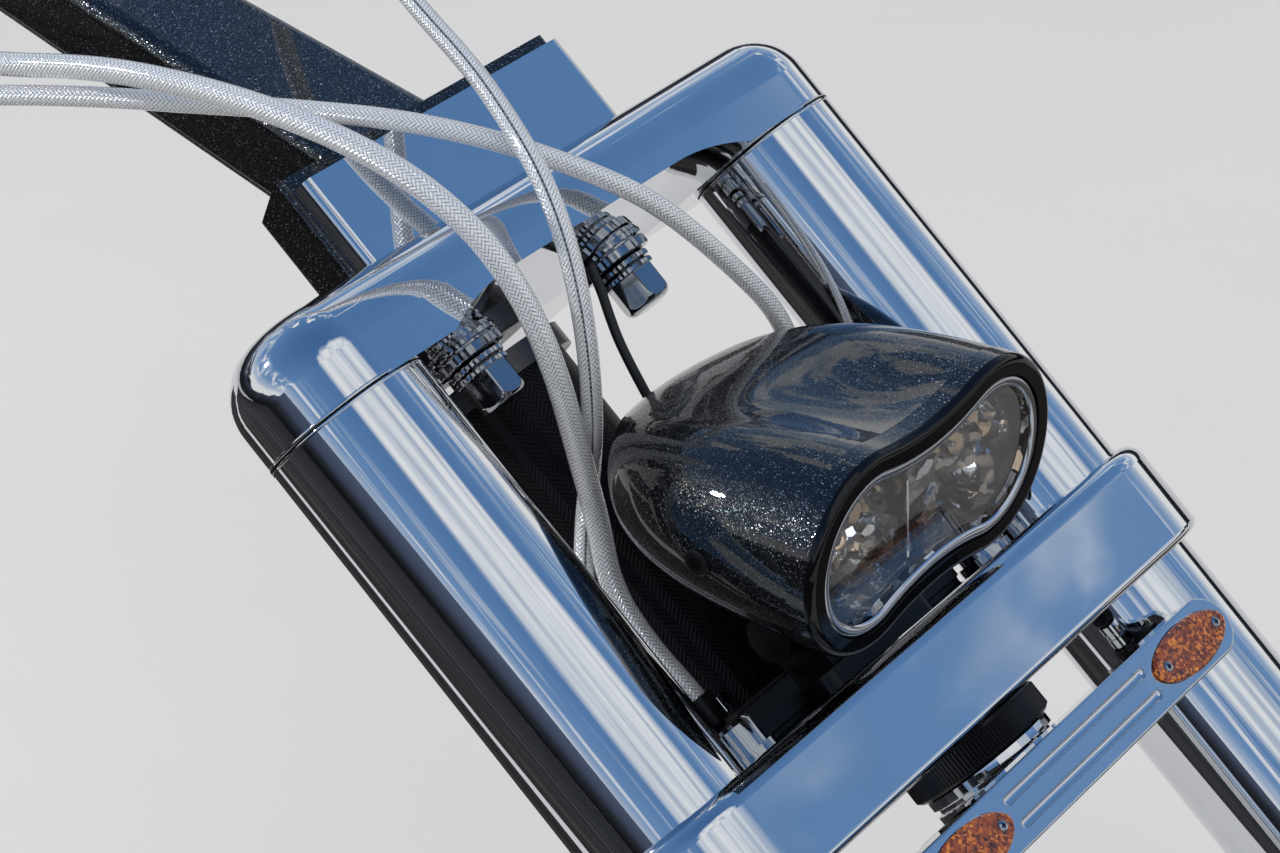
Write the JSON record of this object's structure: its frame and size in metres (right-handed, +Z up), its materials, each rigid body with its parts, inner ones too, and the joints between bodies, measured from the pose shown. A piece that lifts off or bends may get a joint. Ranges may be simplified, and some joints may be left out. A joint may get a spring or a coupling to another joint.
{
  "type": "chopper motorcycle front end",
  "caption": "Raked chopper front end with wide fork tubes between two clamps, T-bar handlebar, twin-lobe headlamp and indicator bar, to weld on at the steering head.",
  "frame": {"origin": "centre of the flat rear face of the frame's backbone stub, behind the steering head", "axes": "-Y the way the bike goes, +Z up, +X the bike's left"},
  "size_m": [0.8408, 1.0686, 0.6151],
  "materials": {
    "chrome": "polished",
    "dark_chrome": "polished",
    "steel": "satin",
    "black_flake": "metal flake under clear coat",
    "black_gloss": "gloss",
    "black_paint": "satin",
    "rubber": "matte",
    "braid": "braided steel under a clear sleeve",
    "clear_lens": "clear",
    "bulb_glass": "clear",
    "reflector": "polished",
    "amber": "translucent"
  },
  "bodies": {
    "steering_head": {"steering_head": "black_paint", "backbone_stub": "black_paint", "upper_bearing_cup": "steel", "lower_bearing_cup": "steel"},
    "fork": {"top_clamp": "chrome", "lower_clamp": "chrome", "steering_stem": "steel", "stem_nut": "chrome", "upper_tube_left": "chrome", "upper_tube_right": "chrome", "seal_ring_left": "rubber", "seal_ring_right": "rubber", "stanchion_left": "chrome", "stanchion_right": "chrome", "axle_lug_left": "chrome", "axle_lug_right": "chrome", "axle": "steel", "axle_nut": "steel", "riser_damper_left": "dark_chrome", "riser_damper_right": "dark_chrome", "riser_bolt_left": "dark_chrome", "riser_bolt_right": "dark_chrome", "clamp_cap_bolt_left": "dark_chrome", "clamp_cap_bolt_right": "dark_chrome", "handlebar_riser": "black_flake", "riser_plate": "chrome", "handlebar": "chrome", "grip_left": "rubber", "grip_right": "rubber", "switch_housing_left": "chrome", "switch_housing_right": "chrome", "hand_control_left": "chrome", "hand_control_right": "chrome", "lever_left": "chrome", "lever_right": "chrome", "headlamp_bracket": "black_paint", "headlamp_pivot": "black_paint", "knurled_nut": "rubber", "lock_collar": "steel", "light_bar_bracket": "black_paint", "light_bar": "chrome", "amber_lens_left": "amber", "amber_lens_right": "amber", "line_block_left": "black_paint", "line_block_right": "black_paint", "brake_line": "braid", "throttle_line": "braid", "clutch_line": "braid", "lamp_wire": "rubber"},
    "headlamp": {"headlamp_shell": "black_flake", "headlamp_rim": "black_gloss", "headlamp_lens": "clear_lens", "headlamp_reflector": "reflector", "headlamp_bulbs": "bulb_glass"}
  },
  "joints": [
    {"name": "steering", "type": "hinge", "parent": "steering_head", "child": "fork", "pos_m": [0, -0.11, 0.017], "axis": [0, 0.7431, 0.6691], "range_deg": [-32, 32]},
    {"name": "headlamp_tilt", "type": "hinge", "parent": "fork", "child": "headlamp", "pos_m": [0, -0.20082, 0.02296], "axis": [1, 0, 0], "range_deg": [-3, 3]}
  ]
}
